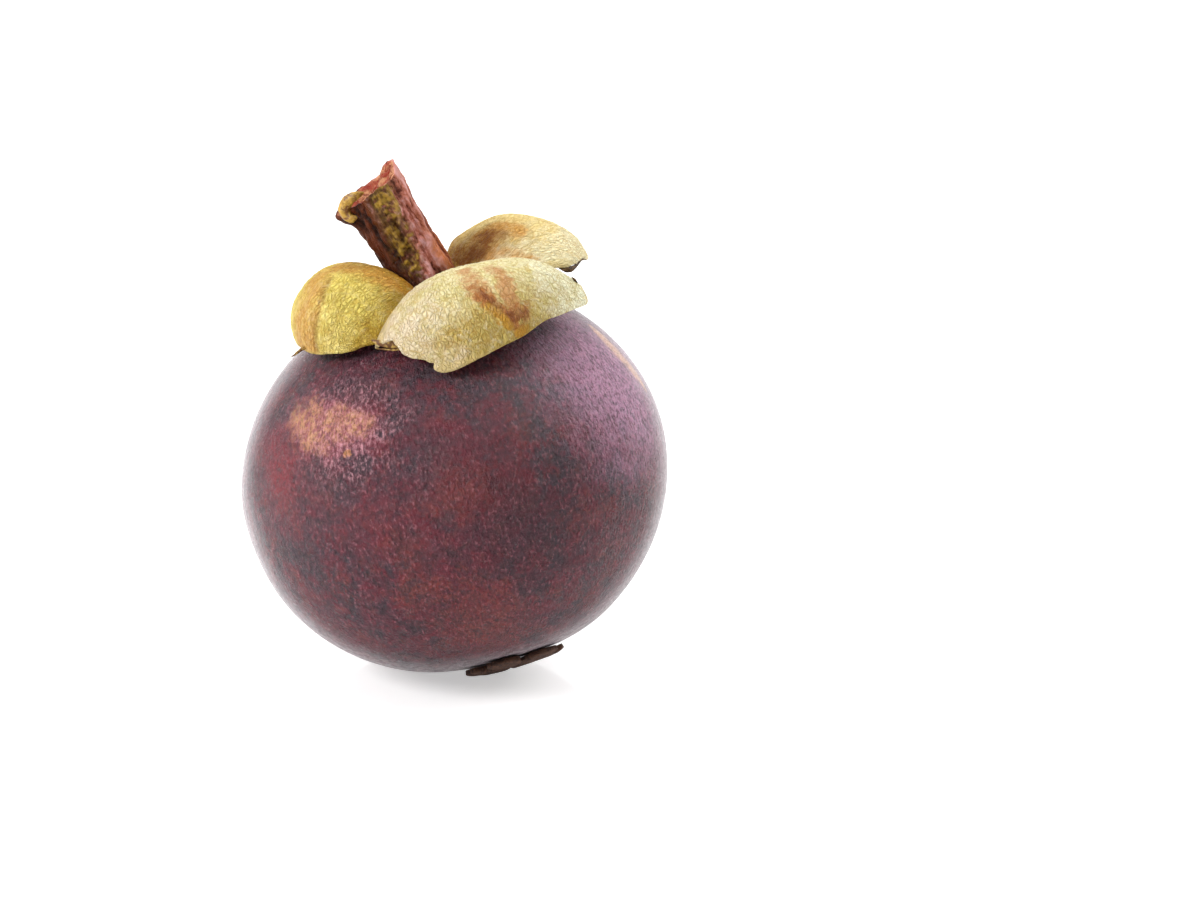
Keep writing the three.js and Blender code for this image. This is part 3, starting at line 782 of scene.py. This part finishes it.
def stem_finish():
    """Dry bark: mauve ridges with dark creases and a painted pale pink highlight on their crests,
    red-brown on the left, an orange right edge, olive warts down the front, a brown root and a raw,
    fibrous torn end."""
    f = Finish("stem_bark", (66, 18, 10))
    side_x, side_y, along = f.parts(f.attribute("bark"))
    raw, ridge, wart = f.parts(f.attribute("torn"))
    wrapped = f.vector("MULTIPLY", f.attribute("bark"), (STEM_RADIUS, STEM_RADIUS, 0.35))
    fine = f.noise(0.45, wrapped, detail=5, rough=0.7, warp=0.5, shift=4)
    cloud = f.noise(2.0, detail=5, rough=0.65, warp=0.5)
    wander = f.swing(cloud, 1.2)
    raised = f.plus(ridge, f.swing(fine, 1.3))
    f.lay((190, 110, 92), f.fade(raised, 0.1, 0.55))
    # Painted highlight: pale pink on the highest ridges.
    f.lay((226, 172, 172), f.fade(raised, 0.42, 0.85), 0.9)
    red_brown = f.blend((38, 10, 0), (94, 40, 10), f.fade(raised, 0.15, 0.7))
    f.lay(red_brown, f.fade(f.plus(side_x, wander), 0.12, -0.3))
    edge = f.fade(f.plus(side_x, f.times(wander, 0.5)), 0.62, 0.88)
    orange = f.blend((120, 46, 20), (196, 112, 60), f.fade(raised, 0.1, 0.6))
    f.lay(orange, edge, f.fade(along, 14.0, 7.0, 0.25, 0.95))
    mossy = f.blend((74, 48, 12), (170, 134, 46), f.fade(f.plus(wart, fine), 0.42, 1.0))
    slant = f.times(f.maths("SUBTRACT", along, WART_MIDDLE), -WART_SLANT)
    off_line = f.maths("ABSOLUTE", f.plus(side_x, slant))
    zone = f.times(f.fade(off_line, 0.66, 0.15), f.fade(side_y, 0.0, -0.5))
    zone = f.times(zone, f.fade(along, 4.5, 9.0), f.fade(cloud, 0.36, 0.5))
    f.lay(mossy, f.maths("MAXIMUM", zone, f.fade(wart, 0.04, 0.25)), 0.92)
    root = f.fade(f.plus(along, f.times(wander, 3)), 6.5, 3.0)
    f.lay(f.blend((56, 26, 4), (124, 78, 26), fine), root, 0.7)
    fibre = f.noise(0.9, detail=6, rough=0.65, warp=1.0)
    torn = f.blend((126, 52, 30), (208, 148, 106), f.fade(fibre, 0.36, 0.62))
    patches = f.fade(f.noise(2.2, detail=5, shift=9), 0.46, 0.56)
    torn = f.blend(torn, (150, 40, 30), f.times(patches, 0.75))
    f.lay(torn, f.fade(raw, 0.35, 0.9))
    f.relief((ridge, 0.25), (fine, 0.35), (fibre, 0.5))
    return f.done(f.fade(fine, 0.3, 0.7, 0.5, 0.36), Specular_IOR_Level=0.14)


def bark_ear_finish():
    """The rolled lip of bark by the torn end: waxy ochre on its ridge, brown in its folds."""
    f = Finish("bark_ear", (112, 68, 20))
    fold = f.noise(1.0, detail=4, rough=0.6, warp=0.5)
    f.lay((180, 140, 52), f.fade(fold, 0.36, 0.56))
    # Painted highlight: pale ochre flecks.
    f.lay((206, 178, 96), f.fade(f.noise(0.5, shift=3), 0.55, 0.7), 0.5)
    f.relief((fold, 0.25), (f.noise(0.35, detail=3), 0.1))
    return f.done(0.5, Specular_IOR_Level=0.35)


# Multiplier for the painted shade in the sepals' creases.
CREASE_SHADE_TINT = (0.6, 0.46, 0.22)


def sepal_finish(name, fold, tones, crest_highlight, stains):
    """Leathery skin, pebbled and finely wrinkled, with painted shade in the creases, darker than the
    tone they lie in.
    fold: the fold line that the blade's shape has, browned along one side; tones: colours at the
    root, middle and tip, on the left and right sides, in clouds, along the lip and at the fold;
    bloom: how strong the painted highlight on the raised grain is; stains: (colour, strokes,
    raggedness, softness, strength) marks, each stroke a line of (place, radius) stops."""
    f = Finish(name, tones["root"])
    across, along, upper = f.parts(f.attribute("blade"))
    pads, wrinkles, _ = f.parts(f.attribute("relief"))
    cloud = f.noise(4.0, detail=5, rough=0.65, warp=0.4)
    drift = f.swing(cloud, 1.2)
    reach = f.plus(along, drift)
    f.lay(tones["middle"], f.fade(reach, -0.7, 0.0))
    f.lay(tones["tip"], f.fade(reach, 0.1, 0.8))
    sideways = f.plus(across, drift)
    f.lay(tones["left"], f.fade(sideways, -0.25, -0.8))
    f.lay(tones["right"], f.fade(sideways, 0.25, 0.8))
    tinge = f.noise(2.4, detail=6, rough=0.7, warp=0.4, shift=11)
    f.lay(tones["tinge"], f.fade(tinge, 0.44, 0.66), 0.5)
    if fold:
        start, end, first, last = fold
        off = f.maths("SUBTRACT", across, f.fade(along, first, last, start, end))
        off = f.plus(off, f.swing(tinge, 0.06))
        beside = f.times(f.fade(off, 0.01, -0.03), f.fade(off, -0.5, -0.3), f.fade(along, 0.0, 0.4))
        f.lay(tones["beside_fold"], beside, f.fade(cloud, 0.34, 0.56, 0.5, 0.95))
        line = f.times(f.fade(f.maths("ABSOLUTE", off), 0.06, 0.0), f.fade(along, -0.1, 0.25))
        f.lay(tones["fold"], f.times(line, f.fade(tinge, 0.36, 0.56)), 0.6)
    clean = 1.0
    for tint, strokes, ragged, softness, strength in stains:
        amount = 0.0
        for stops in strokes:
            line = f.stroke(stops, ragged, size=1.4, edge=softness, detail=7)
            amount = f.maths("MAXIMUM", amount, line)
        amount = f.times(amount, f.fade(tinge, 0.34, 0.56, 0.45, 1))
        f.lay(tint, amount, strength)
        clean = f.maths("SUBTRACT", clean, amount, clamp=True)
    blade = f.vector("MULTIPLY", f.attribute("blade"), (BLADE_SPAN, PEBBLE_STRETCH, 0))
    pebble = f.cells(0.52, f.wobbled(blade, 0.8, 0.9), "DISTANCE_TO_EDGE")
    crumple = f.noise(1.1, detail=6, rough=0.72, warp=0.4, shift=21)
    # Painted shade: the pebbles' borders and the low relief are darkened, as if shaded.
    crease = f.times(f.fade(pebble, 0.18, 0.0), f.fade(crumple, 0.62, 0.4, 0.45, 1))
    hollow = f.fade(f.plus(wrinkles, pads), 0.5, 0.1)
    crease = f.maths("MAXIMUM", crease, f.times(hollow, 0.6))
    f.lay(f.vector("MULTIPLY", f.base, CREASE_SHADE_TINT), crease, 0.76)
    # Painted highlight: near-white on the raised grain.
    f.lay((255, 252, 232), f.fade(crumple, 0.5, 0.7), clean, crest_highlight)
    rim = f.maths("MAXIMUM", f.maths("ABSOLUTE", across), f.maths("ABSOLUTE", along))
    # Paler lip round the rim: partly the margin's own tone, partly a painted highlight along the edge.
    f.lay(tones["lip"], f.fade(rim, 0.92, 0.99), 0.6)
    under = f.blend((70, 40, 18), (122, 84, 44), f.fade(crumple, 0.35, 0.65))
    f.lay(under, f.fade(upper, 0.0, -0.3))
    f.relief((f.fade(pebble, 0.0, 0.3), 0.2), (crumple, 0.5), (wrinkles, 0.05))
    return f.done(f.fade(crumple, 0.3, 0.7, 0.62, 0.5), Specular_IOR_Level=0.16)


def stigma_finish():
    """Dried, cracked rosette: dark brown, greyer on its ridges."""
    f = Finish("dried_stigma", (40, 22, 18))
    crack = f.noise(0.9, detail=6, rough=0.7, warp=1.2)
    fine = f.noise(0.25, detail=4, rough=0.7)
    f.lay((98, 66, 48), f.fade(crack, 0.35, 0.62))
    f.lay((132, 104, 82), f.fade(fine, 0.55, 0.75), 0.5)
    f.relief((crack, 0.4), (fine, 0.08))
    return f.done(0.75, Specular_IOR_Level=0.3)


def torn_strip_finish(name, dark, light):
    """Dry rag of sepal, mottled from a dark brown to a lighter one."""
    f = Finish(name, dark)
    mottle = f.noise(0.7, detail=4, rough=0.65)
    f.lay(light, f.fade(mottle, 0.4, 0.58))
    f.relief((mottle, 0.2))
    return f.done(0.6, Specular_IOR_Level=0.2)


def floor_finish():
    """Glossy white acrylic, lit softly from below to show shadows only faintly."""
    white = (250, 250, 250)
    f = Finish("white_tabletop", white)
    seen = f.node("ShaderNodeLightPath").outputs["Is Camera Ray"]
    f.feed(f.shader.inputs["Emission Strength"], f.fade(seen, 0, 1, 0.2, 0.5))
    return f.done(0.07, Specular_IOR_Level=0.4, Emission_Color=colour(*white))


# ---- the fruit


def fan_about(p):
    """For each point of the rind, in millimetres: its place on a ring round the line from stigma to
    calyx, and how far down the meridian from the calyx it is."""
    way = (p - RIND_CENTRE) / lengths(p - RIND_CENTRE)[..., None]
    local = way @ axes_about(CALYX_WAY - STIGMA_WAY).T
    flat = local[..., :2] / np.maximum(lengths(local[..., :2]), 1e-6)[..., None]
    fall = np.arccos(np.clip(local[..., 2], -1, 1)) * MEAN_RADIUS
    return np.concatenate([flat * MEAN_RADIUS, fall[..., None]], -1)


skin = rind_skin()
rind = close_skin("rind_skin", skin)
mark(rind, "fan", fan_about(skin))
dress(rind, "rind", rind_finish())

bark, wrapped, ripped = stem_skin()
stem = close_skin("stem_bark", bark)
mark(stem, "bark", wrapped)
mark(stem, "torn", ripped)
dress(stem, "stem", stem_finish())

dress(close_skin("stigma_rosette", stigma_skin()), "stigma", stigma_finish())


def at_stem(stops):
    """Moves (x, y, along, girth) stops from the stem's own axes to the fruit's."""
    stops = np.asarray(stops, float)
    return np.column_stack([STEM_ROOT + stops[:, :3] @ STEM_AXES, stops[:, 3]])


EAR_STOPS = [
    (-0.7, -3.3, 19.8, 0.35), (-2.0, -3.7, 20.1, 0.64), (-3.2, -3.4, 20.0, 0.8),
    (-4.2, -2.9, 19.3, 0.86), (-4.5, -2.8, 18.4, 0.84), (-4.1, -3.1, 17.6, 0.7),
    (-3.3, -3.4, 17.3, 0.45),
]
ear = close_skin("bark_ear", strand_skin(at_stem(EAR_STOPS), -STEM_AXES[1], 0.8, 0.16, 90))
dress(ear, "stem", bark_ear_finish())

SEPAL_LOOKS = {
    "sepal_front": (
        # The front sepal's right tone is lifted as painted light, where the lamps fall off towards its
        # right end.
        dict(root=(248, 240, 206), middle=(232, 220, 164), tip=(190, 162, 84),
             left=(230, 212, 182), right=(252, 250, 218), tinge=(206, 190, 108),
             lip=(214, 188, 124)),
        0.28,
        [
            ((198, 136, 84), [
                [((1.4, -13.6, 61.6), 0.9), ((2.6, -16.6, 60.9), 1.5), ((4.0, -19.4, 59.4), 1.6)],
                [((5.1, -13.7, 61.8), 1.0), ((7.0, -16.2, 60.8), 1.5), ((7.4, -18.6, 59.2), 1.4),
                 ((7.9, -20.1, 57.4), 1.2)],
            ], 1.7, 0.6, 0.8),
            ((172, 102, 38), [
                [((3.1, -18.6, 60.1), 0.9), ((4.7, -20.0, 58.8), 1.3), ((6.4, -20.8, 57.3), 1.2),
                 ((8.1, -20.8, 56.1), 1.1), ((9.7, -19.5, 56.9), 1.25)],
                [((8.2, -20.8, 56.1), 0.8), ((9.0, -21.2, 54.6), 1.0)],
            ], 1.6, 0.4, 0.85),
            ((192, 142, 38), [
                [((5.0, -20.9, 57.6), 0.8), ((6.8, -21.2, 56.4), 0.8), ((7.6, -21.4, 55.2), 0.5)],
                [((8.8, -21.3, 54.2), 0.6), ((10.2, -20.4, 54.8), 0.6)],
            ], 1.6, 0.6, 0.95),
            ((126, 62, 14), [
                [((3.4, -18.8, 59.8), 0.3), ((4.6, -19.8, 59.0), 0.4), ((6.6, -20.6, 57.4), 0.3),
                 ((8.2, -20.6, 56.4), 0.65), ((9.8, -19.6, 56.6), 0.8)],
            ], 1.0, 0.5, 0.8),
        ],
    ),
    "sepal_left": (
        dict(root=(202, 140, 26), middle=(234, 214, 110), tip=(236, 218, 130),
             left=(200, 168, 88), right=(172, 136, 36), tinge=(192, 170, 60),
             lip=(204, 180, 100), fold=(140, 88, 32), beside_fold=(204, 156, 80)),
        0.12,
        [
            ((206, 138, 54), [
                [((-18.6, -6.8, 59.2), 2.0), ((-16.4, -5.9, 60.6), 2.2), ((-12.0, -9.0, 60.4), 2.0),
                 ((-8.8, -9.8, 59.4), 1.6)],
            ], 1.0, 0.7, 0.7),
        ],
    ),
    "sepal_back_right": (
        dict(root=(160, 104, 26), middle=(242, 218, 146), tip=(254, 243, 192),
             left=(252, 242, 200), right=(180, 138, 50), tinge=(222, 190, 108),
             lip=(222, 200, 134)),
        0.12,
        [
            ((210, 144, 52), [
                [((4.6, 2.6, 63.0), 2.4), ((7.0, 3.4, 64.4), 1.6), ((9.4, 1.4, 64.2), 1.5)],
            ], 1.0, 0.6, 0.7),
            ((212, 156, 84), [
                [((5.6, -1.2, 61.2), 1.6), ((8.2, -3.0, 61.0), 1.6), ((11.0, -4.2, 60.7), 1.0)],
            ], 1.6, 0.7, 0.8),
            ((132, 74, 10), [
                [((2.6, 1.0, 61.0), 1.8), ((5.0, 2.2, 62.8), 1.9), ((6.6, 1.6, 63.2), 1.4)],
            ], 1.4, 0.6, 0.85),
        ],
    ),
    "sepal_back_left": (
        dict(root=(196, 146, 104), middle=(204, 162, 112), tip=(204, 176, 106),
             left=(204, 168, 108), right=(198, 160, 100), tinge=(190, 154, 78),
             lip=(212, 180, 134)),
        0.1,
        [],
    ),
}
for node, look in SEPAL_LOOKS.items():
    points, blade, relief = sepal_skin(SEPALS[node])
    sepal = close_skin(node + "_leaf", points)
    mark(sepal, "blade", blade)
    mark(sepal, "relief", relief)
    dress(sepal, node, sepal_finish(node + "_skin", SEPALS[node]["fold"], *look))

TORN_STRIPS = {
    "front_rag": ("sepal_front", 0.45, "pale", [
        (-6.9, -19.9, 52.6, 0.45), (-8.1, -20.0, 52.75, 0.6), (-9.3, -19.9, 52.7, 0.55),
        (-10.4, -19.5, 52.85, 0.36), (-11.3, -19.1, 53.05, 0.08)]),
    "front_rag_edge": ("sepal_front", 0.8, "pale", [
        (-6.8, -20.1, 51.98, 0.13), (-8.2, -20.2, 51.9, 0.14), (-9.4, -20.1, 51.95, 0.13),
        (-10.6, -19.8, 52.0, 0.06)]),
    "front_sliver": ("sepal_front", 0.6, "dark", [
        (16.6, -8.3, 59.4, 0.04), (17.0, -8.3, 59.0, 0.14), (17.45, -8.2, 58.5, 0.04)]),
    "left_spur": ("sepal_left", 0.5, "pale", [
        (-20.5, -11.6, 50.5, 0.3), (-21.4, -11.9, 50.0, 0.24), (-22.1, -12.0, 49.5, 0.16),
        (-22.7, -12.0, 49.1, 0.05)]),
    "right_curl": ("sepal_back_right", 0.5, "dark", [
        (14.9, -4.4, 59.85, 0.1), (16.2, -4.4, 59.65, 0.42), (17.2, -3.4, 59.85, 0.3),
        (18.15, -1.6, 60.4, 0.16), (19.1, 0.0, 60.2, 0.06)]),
}
strip_finishes = {
    "pale": torn_strip_finish("pale_strip", (88, 52, 20), (176, 142, 72)),
    "dark": torn_strip_finish("dark_strip", (44, 26, 10), (92, 64, 28)),
}
for name, (node, flatness, shade, stops) in TORN_STRIPS.items():
    strip = close_skin(name, strand_skin(stops, (0, -1, 0.3), flatness, 0.08, 95))
    dress(strip, node, strip_finishes[shade])

# ---- floor, light and camera

FLOOR_REACH = 4.0
corners = [(x * FLOOR_REACH, y * FLOOR_REACH, 0) for x, y in ((-1, -1), (1, -1), (1, 1), (-1, 1))]
floor_mesh = bpy.data.meshes.new("tabletop")
floor_mesh.from_pydata(corners, [], [(0, 1, 2, 3)])
floor_mesh.materials.append(floor_finish())
floor = put_in("tabletop", floor_mesh)


def stand_and_aim(piece, place, aim):
    """Puts a lamp or the camera at a place in metres and turns it to look at another."""
    piece.location = place
    piece.rotation_euler = (Vector(aim) - piece.location).to_track_quat("-Z", "Y").to_euler()


def soft_light(name, place, power, width, lights_matt=True):
    """A square lamp in a soft box, aimed at the middle of the fruit. One that doesn't light matt
    surfaces only adds to the gloss."""
    lamp = bpy.data.lights.new(name, "AREA")
    lamp.energy = power
    lamp.size = width
    box = put_in(name, lamp)
    stand_and_aim(box, place, RIND_CENTRE * MM)
    box.visible_diffuse = lights_matt


soft_light("key_softbox", (-0.62, -0.28, 0.42), 5.4, 0.3)
soft_light("key_gloss", (-0.52, -0.42, 0.43), 10.5, 0.12, lights_matt=False)
soft_light("top_softbox", (-0.1, -0.05, 0.85), 3.6, 0.6)
soft_light("right_softbox", (0.62, 0.34, 0.44), 5.0, 0.5)


def studio_world():
    """White surroundings: plain white to look at, and as light, bright behind the fruit and dim on
    the camera's side of the room."""
    world = bpy.data.worlds.new("white_studio")
    world.use_nodes = True
    w = Wiring(world.node_tree)
    sky = w.tree.nodes["Background"]
    sky.inputs["Color"].default_value = (1, 1, 1, 1)
    _, depth, _ = w.parts(w.node("ShaderNodeTexCoord").outputs["Generated"])
    seen = w.node("ShaderNodeMix")
    w.feed(seen.inputs["Factor"], w.node("ShaderNodeLightPath").outputs["Is Camera Ray"])
    w.feed(seen.inputs["A"], w.fade(depth, -0.3, 0.7, 0.28, 0.9))
    w.feed(seen.inputs["B"], 1.0)
    w.feed(sky.inputs["Strength"], seen.outputs["Result"])
    scene.world = world


studio_world()
scene.view_settings.view_transform = "Standard"

CAMERA_DISTANCE = 482.0
CAMERA_TILT = radians(15)
AIM_RIGHT, AIM_UP = 21.0, 3.9
back = np.array([0, -math.cos(CAMERA_TILT), math.sin(CAMERA_TILT)])
over = np.array([0, math.sin(CAMERA_TILT), math.cos(CAMERA_TILT)])
lens = bpy.data.cameras.new("camera")
lens.lens = 100
lens.sensor_width = 36
lens.clip_start = 0.01
camera = put_in("camera", lens)
aim_point = RIND_CENTRE + AIM_UP * over + np.array([AIM_RIGHT, 0, 0])
stand_and_aim(camera, (RIND_CENTRE + CAMERA_DISTANCE * back) * MM, aim_point * MM)
scene.camera = camera
